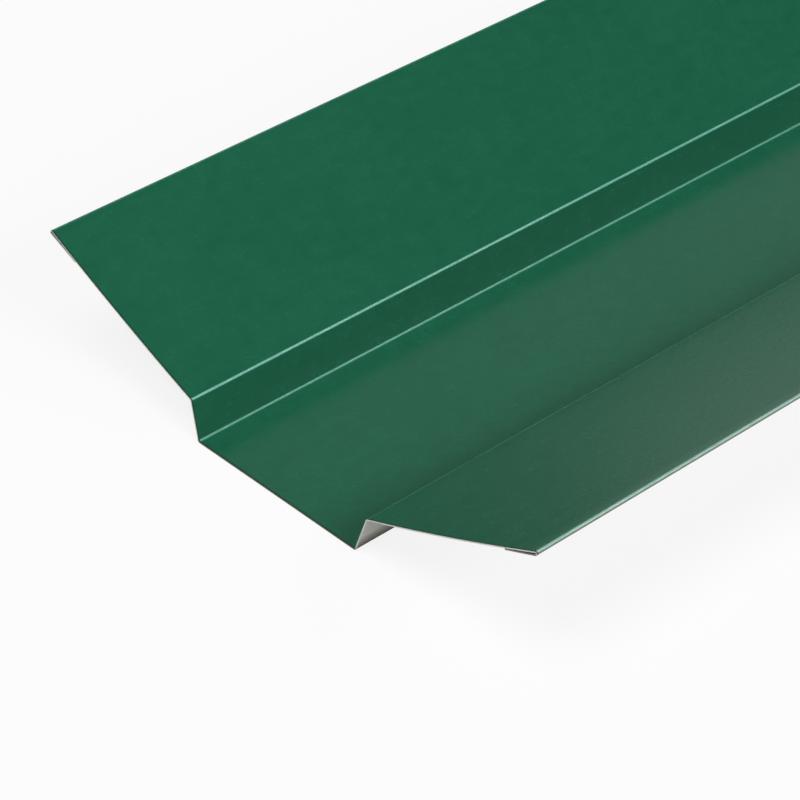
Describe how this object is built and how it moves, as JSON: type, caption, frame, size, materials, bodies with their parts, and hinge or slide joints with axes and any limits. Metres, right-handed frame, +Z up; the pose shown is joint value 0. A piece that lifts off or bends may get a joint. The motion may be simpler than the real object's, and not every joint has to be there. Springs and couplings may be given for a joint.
{
  "type": "valley flashing",
  "caption": "Open roof valley flashing folded from painted sheet: a flat pan between short steep steps, with wide rising wings whose outer edges are hemmed under.",
  "frame": {"origin": "middle of the pan's underside, at half length", "axes": "+Y along the length, +X across the section, +Z up out of the open valley"},
  "size_m": [0.243, 2, 0.0492],
  "materials": {
    "prepainted_steel": "satin"
  },
  "bodies": {
    "root": {"valley_flashing": "prepainted_steel"}
  },
  "joints": []
}
